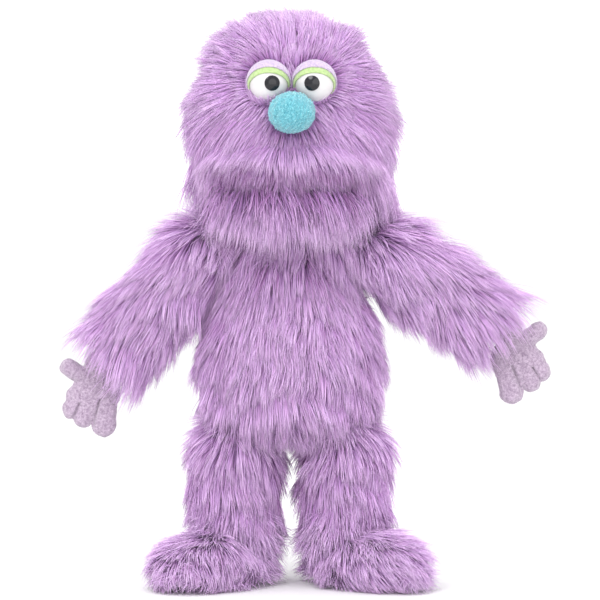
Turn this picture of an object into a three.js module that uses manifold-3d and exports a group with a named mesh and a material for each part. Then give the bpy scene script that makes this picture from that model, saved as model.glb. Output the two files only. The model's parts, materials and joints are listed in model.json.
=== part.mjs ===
// A full-body moving-mouth puppet: a furry monster with a hand sleeve, foam head, hinged jaw,
// stuffed arms and legs, fleece hands and soft feet. Millimetres, +Z up, facing -Y, standing.
import * as THREE from 'three';
import { mergeVertices } from 'three/addons/utils/BufferGeometryUtils.js';
import Module from 'manifold-3d';

const wasm = await Module();
wasm.setup();

// ---------------------------------------------------------------- driving dimensions
const LAYER_GAP = 0.3; // between touching pieces
const JOINT_GAP = 2.5; // between the ball and the socket of a soft joint
const SEGMENTS = 18; // facets round a full turn
const PILE = 8; // fur fabric with its pressed pile
const LINING = 3; // lining cloth

const hip = { x: 72, y: 4, z: 172 };
const leg = { radius: 49 };
const ankle = { z: 60, ball: 42, cuff: 20 }; // the leg's fur ends a cuff's height above the ankle
const foot = { halfWidth: 50, halfLength: 92, halfHeight: 36, forward: 45, centre: 30, yaw: 38, sole: 4 };

const torso = { y: 8, depthRatio: 0.78, bottom: 222.5, hem: 88, belly: 109, waist: 104 };
const torsoRise = { waist: 24, belly: 78 }; // above the torso's bottom
const chest = { shoulderHalf: 64, breastHalf: 79, ribHalf: 101, neckHalf: 58 };
const chestDrop = { breast: 40, ribs: 100 }; // below the shoulders
const backSlit = { width: 100, low: 236, high: 330, behind: 20 };

const shoulder = { x: 114, y: 4, z: 433 };
const arm = { radius: 37, length: 200, cuff: 42, wristRadius: 17, wristGap: 20, fillingHole: 6 };
const armDrop = { right: 47, left: 31 }; // degrees below level
const handTurn = { right: 0, left: 8 }; // degrees outwards from hanging straight down
const hand = { panel: 4.5, filling: 8, inset: 3, root: 18 };
// a hand's outline, as rounded bars: from and to in [towards the thumb, down] from the wrist
const handBars = [
  { from: [0, 4], to: [4, 30], radius: hand.root },
  { from: [0, 36], to: [8, 38], radius: 27 }, // palm
  { from: [10, 24], to: [38, 6], radius: 11 }, // thumb
  { from: [20, 40], to: [33, 54], radius: 13 },
  { from: [12, 40], to: [20, 68], radius: 12.5 },
  { from: [-8, 40], to: [-6, 79], radius: 14.5 },
];

const neck = { y: 12, z: 462, radius: 58, wall: 4, band: 28 }; // band: degrees either side of level
const socket = { torsoBelow: 16, headAbove: 10 }; // degrees from level, seen from the neck's centre

const skull = { y: -4, z: 614, x: 118, depth: 112, height: 126 };
const muzzle = { y: -38, z: 556, x: 104, depth: 84, height: 58 };
const mouth = {
  hingeY: -24, z: 528, halfWidth: 72, length: 74, plate: 3, cloth: 1.75, jawWedge: 25, creaseRoom: 6,
};
const tongue = { halfWidth: 26, length: 56, thickness: 1.7 };
const handRoom = { halfWidth: 50, front: -84, back: 56, top: 592 };
const thumbRoom = { halfWidth: 17, reach: 56, depth: 22 };
const strap = { width: 20, thickness: 2.5, halfSpan: 44, height: 32 };

const eye = { x: 29, y: -112, z: 657, ball: 25.5, trim: 1.5, lid: 1.2 };
const lidEdge = { lidDrop: -4, lidRise: 1.18, trimDrop: -9, trimRise: 0.9 };
const pupil = { radius: 9.6, toe: 4, thickness: 1.6 };
const nose = { y: -138, z: 619, radius: 28, cloth: 2.5, foamClearance: 6 };

// ---------------------------------------------------------------- materials
const finish = (color, roughness) => new THREE.MeshStandardMaterial({ color, roughness, metalness: 0 });
const looks = {
  fur: () => finish(0xc49cce, 0.95),
  fleece: () => finish(0xc6b3c8, 0.95),
  filling: () => finish(0xf1efe8, 0.95),
  foam: () => finish(0xf3e9c8, 0.9),
  lining: () => finish(0x8d6f9b, 0.85),
  sole: () => finish(0x8d6f9b, 0.9),
  board: () => finish(0x8a7a6a, 0.8),
  mouthFelt: () => finish(0x2c2328, 0.95),
  tongueFelt: () => finish(0xb0506a, 0.95),
  elastic: () => finish(0x3a3440, 0.8),
  noseFleece: () => finish(0x81ccda, 0.95),
  eyeWhite: () => finish(0xf4efec, 0.3),
  eyeBlack: () => finish(0x14151a, 0.1),
  lidGreen: () => finish(0xc3dca0, 0.95),
  lidLilac: () => finish(0xecdcf4, 0.95),
};

// ---------------------------------------------------------------- solids
const degrees = THREE.MathUtils.degToRad;
const REACH = 2000; // larger than the whole puppet, for half-spaces

function solid(geometry) {
  const bare = geometry.index ? geometry.toNonIndexed() : geometry.clone();
  bare.deleteAttribute('normal');
  bare.deleteAttribute('uv');
  const merged = mergeVertices(bare, 1e-4);
  return new wasm.Manifold(new wasm.Mesh({
    numProp: 3,
    vertProperties: new Float32Array(merged.attributes.position.array),
    triVerts: new Uint32Array(merged.index.array),
  }));
}

function geometryOf(shape) {
  const mesh = shape.getMesh();
  const geometry = new THREE.BufferGeometry();
  geometry.setAttribute('position', new THREE.BufferAttribute(new Float32Array(mesh.vertProperties), 3));
  geometry.setIndex(new THREE.BufferAttribute(new Uint32Array(mesh.triVerts), 1));
  geometry.computeVertexNormals();
  return geometry;
}

const unite = (...shapes) => shapes.reduce((a, b) => a.add(b));
const cut = (shape, ...tools) => tools.reduce((a, b) => a.subtract(b), shape);

const ellipsoid = (x, y, z, rx, ry, rz, segments = SEGMENTS) => {
  const geometry = new THREE.SphereGeometry(1, segments, segments / 2);
  geometry.rotateX(Math.PI / 2);
  return solid(geometry.scale(rx, ry, rz).translate(x, y, z));
};
const ball = (x, y, z, radius, segments = SEGMENTS) => ellipsoid(x, y, z, radius, radius, radius, segments);

const box = (x0, x1, y0, y1, z0, z1) => solid(new THREE.BoxGeometry(x1 - x0, y1 - y0, z1 - z0)
  .translate((x0 + x1) / 2, (y0 + y1) / 2, (z0 + z1) / 2));
const below = (z) => box(-REACH, REACH, -REACH, REACH, -REACH, z);
const above = (z) => box(-REACH, REACH, -REACH, REACH, z, REACH);
const behind = (y) => box(-REACH, REACH, y, REACH, -REACH, REACH);

// A profile of [radius, height] points turned about the Z axis.
function turned(points, segments = SEGMENTS) {
  const profile = points.map(([r, z]) => new THREE.Vector2(r, z));
  return new THREE.LatheGeometry(profile, segments).rotateX(Math.PI / 2);
}

// Points along an arc in the turning plane, from one elevation to another, in degrees.
function arc(radius, fromElevation, toElevation, steps = 6, centreHeight = 0) {
  return Array.from({ length: steps + 1 }, (_, i) => {
    const angle = degrees(fromElevation + ((toElevation - fromElevation) * i) / steps);
    const reach = Math.abs(Math.cos(angle)) < 1e-9 ? 0 : radius * Math.cos(angle);
    return [reach, centreHeight + radius * Math.sin(angle)];
  });
}

// Everything under a plane that contains the X direction and climbs towards -Y from (y, z).
function underSlope(y, z, rise) {
  const block = new THREE.BoxGeometry(2 * REACH, 2 * REACH, REACH).translate(0, 0, -REACH / 2);
  return solid(block.rotateX(-Math.atan(rise)).translate(0, y, z));
}

// A flat piece with a rounded bar's outline in the XZ plane, its thickness along Y about zero.
function bar([x0, z0], [x1, z1], radius, thickness) {
  const along = Math.atan2(z1 - z0, x1 - x0);
  const outline = new THREE.Shape();
  outline.absarc(x1, z1, radius, along - Math.PI / 2, along + Math.PI / 2, false);
  outline.absarc(x0, z0, radius, along + Math.PI / 2, along + (3 * Math.PI) / 2, false);
  outline.closePath();
  const slab = { depth: thickness, bevelEnabled: false, curveSegments: 8 };
  const flat = new THREE.ExtrudeGeometry(outline, slab);
  return solid(flat.translate(0, 0, -thickness / 2).rotateX(Math.PI / 2));
}

// A half-oval plate lying level, straight along the hinge and round towards -Y.
function halfOval(halfWidth, length, z0, z1, hingeY = mouth.hingeY) {
  const outline = new THREE.Shape();
  outline.absellipse(0, hingeY, halfWidth, length, Math.PI, 2 * Math.PI, false);
  outline.closePath();
  const slab = { depth: z1 - z0, bevelEnabled: false, curveSegments: 16 };
  const plate = new THREE.ExtrudeGeometry(outline, slab);
  return solid(plate.translate(0, 0, z0));
}

// ---------------------------------------------------------------- scene graph
const puppet = new THREE.Group();

function group(parent, x = 0, y = 0, z = 0) {
  const child = new THREE.Group();
  child.position.set(x, y, z);
  parent.add(child);
  return child;
}

function piece(parent, name, shape, material) {
  const geometry = shape.isBufferGeometry ? shape : geometryOf(shape);
  const mesh = new THREE.Mesh(geometry, material);
  mesh.name = name;
  parent.add(mesh);
  return mesh;
}

const sides = [{ name: 'right', sign: -1 }, { name: 'left', sign: 1 }];

// ---------------------------------------------------------------- torso
// The body tube's outline, drawn in by an inset; its top and bottom overrun for the cuts.
function torsoForm(inset, floor) {
  const points = [
    [0, floor], [torso.hem - inset, floor], [torso.waist - inset, torso.bottom + torsoRise.waist],
    [torso.belly - inset, torso.bottom + torsoRise.belly],
    [chest.ribHalf - inset, shoulder.z - chestDrop.ribs],
    [chest.breastHalf - inset, shoulder.z - chestDrop.breast], [chest.shoulderHalf - inset, shoulder.z],
    [chest.neckHalf - inset, neck.z], [0, neck.z],
  ];
  return solid(turned(points).scale(1, torso.depthRatio, 1).translate(0, torso.y, 0));
}

// The cone that keeps the torso's neck edge under the head in every turn and nod.
function neckCone(elevation, up) {
  const run = REACH / 4;
  const rise = run * Math.tan(degrees(elevation));
  const points = [[0, 0], [run, rise], [run, up ? REACH : -REACH], [0, up ? REACH : -REACH]];
  return solid(turned(points, 2 * SEGMENTS).translate(0, neck.y, neck.z));
}

function makeTorso() {
  const body = group(puppet);
  const neckSocket = ball(0, neck.y, neck.z, neck.radius + JOINT_GAP, 2 * SEGMENTS);
  const rim = neckCone(-socket.torsoBelow, true);
  const slit = box(-backSlit.width / 2, backSlit.width / 2, torso.y + backSlit.behind, REACH,
    backSlit.low, backSlit.high);
  const shoulderSockets = sides.map(({ sign }) =>
    ball(sign * shoulder.x, shoulder.y, shoulder.z, arm.radius + JOINT_GAP));
  const cuts = [neckSocket, rim, slit, ...shoulderSockets];

  const fur = cut(torsoForm(0, torso.bottom), torsoForm(PILE, torso.bottom + PILE));
  piece(body, 'torso_fur_cover', cut(fur, ...cuts), looks.fur());

  const outerLining = torsoForm(PILE + LAYER_GAP, torso.bottom + PILE + LAYER_GAP);
  const innerLining = torsoForm(PILE + LAYER_GAP + LINING, torso.bottom + PILE + LAYER_GAP + LINING);
  piece(body, 'torso_sleeve_lining', cut(cut(outerLining, innerLining), ...cuts), looks.lining());
}

// ---------------------------------------------------------------- neck
// A band of a hollow ball, open above and below for the hand.
function neckRing(outer, wall) {
  const outside = arc(outer, -neck.band, neck.band, 4);
  const inside = arc(outer - wall, neck.band, -neck.band, 4);
  return solid(turned([...outside, ...inside, outside[0]]));
}

function makeNeck() {
  const body = group(puppet, 0, neck.y, neck.z);
  const sleeveRadius = neck.radius - neck.wall - JOINT_GAP;
  piece(body, 'neck_fur_cover', neckRing(neck.radius, neck.wall), looks.fur());
  piece(body, 'neck_sleeve_lining', neckRing(sleeveRadius, LINING), looks.lining());
}

// ---------------------------------------------------------------- head
const headForm = (inset) => unite(
  ellipsoid(0, skull.y, skull.z, skull.x - inset, skull.depth - inset, skull.height - inset),
  ellipsoid(0, muzzle.y, muzzle.z, muzzle.x - inset, muzzle.depth - inset, muzzle.height - inset),
);

const upperLiningZ = mouth.z + LAYER_GAP / 2;
const upperPlateZ = upperLiningZ + mouth.cloth + LAYER_GAP;
const upperPlateTop = upperPlateZ + mouth.plate;
const jawTop = mouth.z - LAYER_GAP / 2;
const lowerLiningTop = jawTop - tongue.thickness - LAYER_GAP;
const lowerPlateTop = lowerLiningTop - mouth.cloth - LAYER_GAP;
const jawFoamTop = lowerPlateTop - mouth.plate - LAYER_GAP;

function makeHead() {
  const body = group(puppet);
  const neckSocket = ball(0, neck.y, neck.z, neck.radius + JOINT_GAP, 2 * SEGMENTS);
  const collar = neckCone(socket.headAbove, false);
  const mouthSpace = box(-REACH, REACH, -REACH, mouth.hingeY + mouth.creaseRoom, 0, upperLiningZ);
  const plateSpace = halfOval(mouth.halfWidth + LAYER_GAP, mouth.length + LAYER_GAP, 0,
    upperPlateTop + LAYER_GAP);
  const handSpace = box(-handRoom.halfWidth, handRoom.halfWidth, handRoom.front, handRoom.back,
    0, handRoom.top);
  const cuts = [neckSocket, collar, mouthSpace, plateSpace];

  const fur = cut(headForm(0), headForm(PILE), ...cuts, handSpace);
  piece(body, 'head_fur_cover', fur, looks.fur());
  const foam = cut(headForm(PILE + LAYER_GAP), ...cuts, handSpace);
  piece(body, 'head_foam_form', foam, looks.foam());

  piece(body, 'upper_mouth_plate', halfOval(mouth.halfWidth, mouth.length, upperPlateZ, upperPlateTop),
    looks.board());
  piece(body, 'upper_mouth_lining',
    halfOval(mouth.halfWidth, mouth.length, upperLiningZ, upperLiningZ + mouth.cloth), looks.mouthFelt());

  piece(body, 'finger_strap', fingerStrap(), looks.elastic());

  makeFace(body);
  makeJaw();
}

// An elastic strap for the four fingers: a half-oval band standing on the upper mouth plate.
function fingerStrap() {
  const { width, thickness, halfSpan, height } = strap;
  const outline = new THREE.Shape();
  outline.absellipse(0, 0, halfSpan, height, 0, Math.PI, false);
  outline.absellipse(0, 0, halfSpan - thickness, height - thickness, Math.PI, 0, true);
  outline.closePath();
  const band = new THREE.ExtrudeGeometry(outline, { depth: width, bevelEnabled: false, curveSegments: 10 });
  const middle = mouth.hingeY - mouth.length / 2;
  return solid(band.rotateX(Math.PI / 2).translate(0, middle + width / 2, upperPlateTop + LAYER_GAP));
}

// ---------------------------------------------------------------- face
function makeFace(body) {
  const skin = headForm(-LAYER_GAP);
  const noseCoverInside = nose.radius - nose.cloth;
  const noseBack = skull.y - skull.depth - nose.foamClearance;
  const noseBall = cut(ball(0, nose.y, nose.z, nose.radius), skin);
  const noseHollow = unite(ball(0, nose.y, nose.z, noseCoverInside),
    box(-nose.radius / 2, nose.radius / 2, nose.y, nose.y + nose.radius,
      nose.z - nose.radius / 2, nose.z + nose.radius / 2));
  piece(body, 'nose_cover', cut(noseBall, noseHollow), looks.noseFleece());
  piece(body, 'nose_foam_ball', cut(ball(0, nose.y, nose.z, noseCoverInside - LAYER_GAP), skin,
    behind(noseBack)), looks.foam());

  for (const { name, sign } of sides) {
    const x = sign * eye.x;
    const white = cut(ball(x, eye.y, eye.z, eye.ball), skin);
    const trimInside = eye.ball + LAYER_GAP;
    const lidInside = trimInside + eye.trim + LAYER_GAP;
    const trimFloor = underSlope(eye.y, eye.z + lidEdge.trimDrop, lidEdge.trimRise);
    const lidFloor = underSlope(eye.y, eye.z + lidEdge.lidDrop, lidEdge.lidRise);
    const nearSide = (sign * LAYER_GAP) / 2;
    const midline = box(Math.min(nearSide, -sign * REACH), Math.max(nearSide, -sign * REACH),
      -REACH, REACH, -REACH, REACH);
    const shell = (inner, outer, floor) =>
      cut(ball(x, eye.y, eye.z, outer), ball(x, eye.y, eye.z, inner), floor, skin, midline);

    const pupilX = x - sign * pupil.toe;
    const iris = cut(cut(ball(x, eye.y, eye.z, eye.ball + pupil.thickness),
      ball(x, eye.y, eye.z, eye.ball + LAYER_GAP / 2)), skin);
    const punch = new THREE.CylinderGeometry(pupil.radius, pupil.radius, 2 * eye.ball, SEGMENTS)
      .translate(0, -eye.ball, 0);
    const disc = iris.intersect(solid(punch.translate(pupilX, eye.y, eye.z)));

    piece(body, `${name}_eyeball`, white, looks.eyeWhite());
    piece(body, `${name}_pupil`, disc, looks.eyeBlack());
    piece(body, `${name}_eyelid_trim`, shell(trimInside, trimInside + eye.trim, trimFloor),
      looks.lidGreen());
    piece(body, `${name}_eyelid`, shell(lidInside, lidInside + eye.lid, lidFloor), looks.lidLilac());
  }
}

// ---------------------------------------------------------------- jaw
// The lower lip's outside: the muzzle's lower bowl, held inside a wedge from the hinge.
function jawForm(inset, top) {
  const bowl = ellipsoid(0, muzzle.y, muzzle.z, muzzle.x - inset, muzzle.depth - inset,
    muzzle.height - inset);
  const slope = Math.tan(degrees(mouth.jawWedge));
  const block = new THREE.BoxGeometry(2 * REACH, 2 * REACH, REACH).translate(0, 0, -REACH / 2);
  const underside = solid(block.rotateX(Math.atan(slope))
    .translate(0, mouth.hingeY, mouth.z + inset));
  return cut(bowl, underside, above(top), behind(mouth.hingeY - inset));
}

function makeJaw() {
  const body = group(puppet);
  const plateSpace = halfOval(mouth.halfWidth + LAYER_GAP, mouth.length + LAYER_GAP,
    jawFoamTop, mouth.z);
  const thumbSpace = (reach) => box(-thumbRoom.halfWidth, thumbRoom.halfWidth,
    mouth.hingeY - reach, mouth.hingeY + PILE, jawFoamTop - thumbRoom.depth, jawFoamTop);

  const fur = cut(jawForm(0, jawTop), jawForm(PILE, mouth.z), plateSpace,
    thumbSpace(thumbRoom.reach - 2 * PILE));
  piece(body, 'jaw_fur_cover', fur, looks.fur());
  const foam = cut(jawForm(PILE + LAYER_GAP, jawFoamTop), thumbSpace(thumbRoom.reach));
  piece(body, 'jaw_foam_form', foam, looks.foam());

  piece(body, 'lower_mouth_plate',
    halfOval(mouth.halfWidth, mouth.length, lowerPlateTop - mouth.plate, lowerPlateTop),
    looks.board());
  piece(body, 'lower_mouth_lining',
    halfOval(mouth.halfWidth, mouth.length, lowerLiningTop - mouth.cloth, lowerLiningTop),
    looks.mouthFelt());
  piece(body, 'tongue', halfOval(tongue.halfWidth, tongue.length, jawTop - tongue.thickness, jawTop),
    looks.tongueFelt());
}

// ---------------------------------------------------------------- arms and hands
// An arm lies along +X of its own group, from the shoulder's centre to the wrist's.
function makeArm(side) {
  const turn = side.sign > 0 ? armDrop.left : 180 - armDrop.right;
  const shoulderGroup = group(puppet, side.sign * shoulder.x, shoulder.y, shoulder.z);
  const armGroup = group(shoulderGroup);
  armGroup.rotation.y = degrees(turn);

  const along = (geometry) => solid(geometry.rotateY(Math.PI / 2));
  const cuff = arm.length - arm.cuff;
  const wristEnd = arm.length - arm.wristGap;
  const ballRoom = arm.radius - PILE - LAYER_GAP;
  const padRadius = ballRoom - 2 * LINING;

  // the shoulder pad is the arm's root, sewn round its middle inside the sleeve
  piece(shoulderGroup, `${side.name}_shoulder_stuffing`, ball(0, 0, 0, padRadius), looks.filling());

  const padRoom = ball(0, 0, 0, padRadius + JOINT_GAP);
  const cover = turned([
    ...arc(arm.radius, -90, 0), [arm.radius, cuff], [ballRoom + LAYER_GAP, cuff],
    ...arc(ballRoom + LAYER_GAP, 0, -90),
  ]);
  piece(armGroup, `${side.name}_arm_fur_cover`, along(cover), looks.fur());
  const filling = turned([
    ...arc(ballRoom, -90, 0), [ballRoom, cuff], [arm.wristRadius, wristEnd], [0, wristEnd],
  ]);
  const port = along(turned([
    [0, -arm.radius], [arm.fillingHole, -arm.radius], [arm.fillingHole, 0], [0, 0],
  ]));
  piece(armGroup, `${side.name}_arm_stuffing`,
    cut(along(filling), padRoom, port, ball(arm.length, 0, 0, hand.root + JOINT_GAP)),
    looks.filling());

  makeHand(side, turn);
}

// Hands hang down from the wrist, thumb outwards.
function handForm(sign, inset, thickness) {
  return unite(...handBars.map(({ from, to, radius }) =>
    bar([sign * from[0], -from[1]], [sign * to[0], -to[1]], radius - inset, thickness)));
}

function makeHand(side, turn) {
  const reach = new THREE.Vector3(arm.length, 0, 0)
    .applyAxisAngle(new THREE.Vector3(0, 1, 0), degrees(turn));
  const wrist = group(puppet, side.sign * shoulder.x + reach.x, shoulder.y, shoulder.z + reach.z);
  wrist.rotation.y = degrees(-side.sign * handTurn[side.name]);
  const rootRoom = ball(0, 0, 0, hand.root + LAYER_GAP);
  const panelY = hand.filling / 2 + LAYER_GAP + hand.panel / 2;
  const panel = () => handForm(side.sign, 0, hand.panel);

  piece(wrist, `${side.name}_hand_palm`, cut(panel().translate([0, -panelY, 0]), rootRoom),
    looks.fleece());
  piece(wrist, `${side.name}_hand_back`, cut(panel().translate([0, panelY, 0]), rootRoom),
    looks.fleece());
  piece(wrist, `${side.name}_hand_stuffing`,
    unite(handForm(side.sign, hand.inset, hand.filling), ball(0, 0, 0, hand.root)),
    looks.filling());
}

// ---------------------------------------------------------------- legs and feet
function makeLeg(side) {
  const drop = hip.z - ankle.z;
  const end = -(drop - ankle.cuff);
  const inner = leg.radius - PILE;
  const hipGroup = group(puppet, side.sign * hip.x, hip.y, hip.z);
  const ankleRoom = ball(0, 0, -drop, ankle.ball + JOINT_GAP);
  const cover = turned([
    [inner, end], [leg.radius, end], ...arc(leg.radius, 0, 90), ...arc(inner, 90, 0), [inner, end],
  ]);
  piece(hipGroup, `${side.name}_leg_fur_cover`, cut(solid(cover), ankleRoom), looks.fur());
  const fill = inner - LAYER_GAP;
  const filling = turned([[0, end], [fill, end], ...arc(fill, 0, 90)]);
  piece(hipGroup, `${side.name}_leg_stuffing`, cut(solid(filling), ankleRoom), looks.filling());
  makeFoot(side);
}

function footForm(inset) {
  return unite(
    ball(0, 0, 0, ankle.ball - inset),
    ellipsoid(0, -foot.forward, foot.centre - ankle.z, foot.halfWidth - inset,
      foot.halfLength - inset, foot.halfHeight - inset),
  );
}

function makeFoot(side) {
  const body = group(puppet, side.sign * hip.x, hip.y, ankle.z);
  body.rotation.z = degrees(side.sign * foot.yaw);
  const ground = below(foot.sole + LAYER_GAP - ankle.z);

  piece(body, `${side.name}_foot_fur_cover`, cut(footForm(0), footForm(PILE), ground),
    looks.fur());
  piece(body, `${side.name}_foot_stuffing`, cut(footForm(PILE + LAYER_GAP), ground),
    looks.filling());

  const rise = (foot.centre - foot.sole) / foot.halfHeight;
  const spread = Math.sqrt(1 - rise * rise);
  const sole = new THREE.CylinderGeometry(1, 1, foot.sole, SEGMENTS).rotateX(Math.PI / 2)
    .scale(foot.halfWidth * spread, foot.halfLength * spread, 1)
    .translate(0, -foot.forward, foot.sole / 2 - ankle.z);
  piece(body, `${side.name}_foot_sole`, solid(sole), looks.sole());
}

makeTorso();
makeNeck();
makeHead();
sides.forEach(makeArm);
sides.forEach(makeLeg);

// The origin is the middle of the footprint box, on the ground.
puppet.updateMatrixWorld(true);
const bounds = new THREE.Box3().setFromObject(puppet, true);
puppet.position.set(-(bounds.min.x + bounds.max.x) / 2, -(bounds.min.y + bounds.max.y) / 2, -bounds.min.z);
puppet.updateMatrixWorld(true);

export default puppet;
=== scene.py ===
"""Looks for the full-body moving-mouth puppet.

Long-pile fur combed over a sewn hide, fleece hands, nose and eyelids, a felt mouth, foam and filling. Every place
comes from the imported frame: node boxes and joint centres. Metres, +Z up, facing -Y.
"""
import json
import math

import bmesh
import bpy
import numpy as np
from mathutils import Matrix, Vector
from mathutils.kdtree import KDTree

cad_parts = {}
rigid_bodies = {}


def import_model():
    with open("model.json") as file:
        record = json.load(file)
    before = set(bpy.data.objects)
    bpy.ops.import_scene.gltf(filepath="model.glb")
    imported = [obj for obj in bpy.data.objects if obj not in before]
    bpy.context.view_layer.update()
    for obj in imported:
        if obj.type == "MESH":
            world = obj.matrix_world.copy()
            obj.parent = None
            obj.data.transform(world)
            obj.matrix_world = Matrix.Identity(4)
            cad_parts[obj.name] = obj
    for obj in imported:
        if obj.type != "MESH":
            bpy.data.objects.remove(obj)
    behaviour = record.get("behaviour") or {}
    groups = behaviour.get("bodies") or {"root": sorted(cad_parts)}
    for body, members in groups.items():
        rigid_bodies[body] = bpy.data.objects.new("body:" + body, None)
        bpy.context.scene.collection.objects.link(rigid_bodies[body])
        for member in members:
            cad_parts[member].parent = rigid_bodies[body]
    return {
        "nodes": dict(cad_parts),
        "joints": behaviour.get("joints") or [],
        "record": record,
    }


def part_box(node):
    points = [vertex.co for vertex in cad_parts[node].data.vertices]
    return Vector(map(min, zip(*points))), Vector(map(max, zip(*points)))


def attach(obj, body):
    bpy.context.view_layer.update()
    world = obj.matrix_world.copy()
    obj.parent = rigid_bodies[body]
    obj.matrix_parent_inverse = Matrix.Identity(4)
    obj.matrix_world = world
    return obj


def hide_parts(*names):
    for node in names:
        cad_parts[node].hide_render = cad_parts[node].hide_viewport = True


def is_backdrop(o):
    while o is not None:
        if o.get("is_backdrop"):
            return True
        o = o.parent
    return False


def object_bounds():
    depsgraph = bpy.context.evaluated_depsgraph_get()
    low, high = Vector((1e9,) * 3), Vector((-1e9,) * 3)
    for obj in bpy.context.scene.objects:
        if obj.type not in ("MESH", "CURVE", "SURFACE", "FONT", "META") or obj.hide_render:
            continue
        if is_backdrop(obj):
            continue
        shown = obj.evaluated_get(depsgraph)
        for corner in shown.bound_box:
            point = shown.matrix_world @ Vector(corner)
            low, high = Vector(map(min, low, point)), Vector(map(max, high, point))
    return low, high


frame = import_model()
cad_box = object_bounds()

MM = 0.001
SIDES = {"right": -1.0, "left": 1.0}
UP = np.array([0.0, 0.0, 1.0])
JOINT = {j["name"]: j for j in frame["joints"]}
NECK = np.array(JOINT["head_turn"]["pos_m"])
HINGE = np.array(JOINT["jaw_open"]["pos_m"])
MID_X = NECK[0]  # the body's own middle plane
BODY_OF = {n: b for b, names in frame["record"]["behaviour"]["bodies"].items() for n in names}


def node_box(node):
    low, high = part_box(node)
    return np.array(low), np.array(high)


def centre(node):
    low, high = node_box(node)
    return (low + high) / 2


def unit(v):
    return v / np.maximum(np.linalg.norm(v, axis=-1, keepdims=True), 1e-9)


def smoothstep(x, low, high):
    t = np.clip((x - low) / (high - low), 0.0, 1.0)
    return t * t * (3 - 2 * t)


# ------------------------------------------------------------------ camera, floor and light

PICTURE_WIDTH = 0.780  # metres across the frame, at the puppet
VIEW_CENTRE = Vector((MID_X + 0.013, 0.0, 0.374))
CAMERA_DISTANCE = 4.2
CAMERA_DROP = math.radians(2.5)
FLOOR_GREY = 0.83
SKY_STRENGTH = 1.25
LIGHTS = (  # name, place, target, size, watts
    ("key_light", (-1.1, -2.3, 2.4), (0.0, 0.0, 0.4), 1.5, 40),
    ("fill_light", (1.0, -2.7, 0.45), (0.0, 0.0, 0.2), 3.2, 40),
    ("top_light", (0.1, -0.3, 2.9), (0.0, 0.0, 0.4), 1.8, 16),
)


def look_from(obj, place, target):
    obj.location = place
    obj.rotation_euler = (Vector(target) - Vector(place)).to_track_quat("-Z", "Y").to_euler()


def make_camera():
    data = bpy.data.cameras.new("camera")
    camera = bpy.data.objects.new("camera", data)
    bpy.context.scene.collection.objects.link(camera)
    back = Vector((0.0, -math.cos(CAMERA_DROP), math.sin(CAMERA_DROP))) * CAMERA_DISTANCE
    place = VIEW_CENTRE + back
    look_from(camera, place, VIEW_CENTRE)
    data.sensor_width = 36.0
    data.lens = data.sensor_width * CAMERA_DISTANCE / PICTURE_WIDTH
    data.clip_end = 50.0
    bpy.context.scene.camera = camera


def area_light(name, place, target, size, power):
    data = bpy.data.lights.new(name, "AREA")
    data.shape = "DISK"
    data.size = size
    data.energy = power
    light = bpy.data.objects.new(name, data)
    bpy.context.scene.collection.objects.link(light)
    look_from(light, Vector(place), target)


def make_studio():
    bpy.ops.mesh.primitive_plane_add(size=60.0, location=(0, 0, 0))
    floor = bpy.context.object
    floor.name = "studio_floor"
    material = bpy.data.materials.new("studio_white")
    material.use_nodes = True
    shader = material.node_tree.nodes["Principled BSDF"]
    shader.inputs["Base Color"].default_value = (FLOOR_GREY, FLOOR_GREY, FLOOR_GREY, 1)
    shader.inputs["Roughness"].default_value = 0.9
    shader.inputs["Specular IOR Level"].default_value = 0.1
    floor.data.materials.append(material)
    floor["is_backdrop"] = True

    world = bpy.data.worlds.new("studio")
    world.use_nodes = True
    sky = world.node_tree.nodes["Background"]
    sky.inputs["Color"].default_value = (1, 1, 1, 1)
    sky.inputs["Strength"].default_value = SKY_STRENGTH
    bpy.context.scene.world = world
    bpy.context.scene.view_settings.view_transform = "Standard"
    for light in LIGHTS:
        area_light(*light)


# ------------------------------------------------------------------ materials

def new_material(name):
    material = bpy.data.materials.new(name)
    material.use_nodes = True
    return material, material.node_tree, material.node_tree.nodes["Principled BSDF"]


def add_node(tree, kind, settings=(), **values):
    node = tree.nodes.new(kind)
    for key, value in settings:
        setattr(node, key, value)
    for key, value in values.items():
        node.inputs[key.replace("_", " ")].default_value = value
    return node


def ramp_node(tree, stops):
    node = tree.nodes.new("ShaderNodeValToRGB")
    for i, (place, colour) in enumerate(stops):
        element = node.color_ramp.elements[i] if i < 2 else node.color_ramp.elements.new(place)
        element.position = place
        element.color = (*colour, 1)
    return node


def noise_node(tree, scale, detail=3.0, roughness=0.6):
    coords = tree.nodes.new("ShaderNodeTexCoord")
    noise = add_node(tree, "ShaderNodeTexNoise", Scale=scale, Detail=detail, Roughness=roughness)
    tree.links.new(coords.outputs["Object"], noise.inputs["Vector"])
    return noise


def bump_node(tree, height, strength, distance):
    bump = add_node(tree, "ShaderNodeBump", Strength=strength, Distance=distance)
    tree.links.new(height, bump.inputs["Height"])
    return bump


NAP_FINENESS = 4.0  # how much finer a cloth's nap is than its blotches


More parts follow.
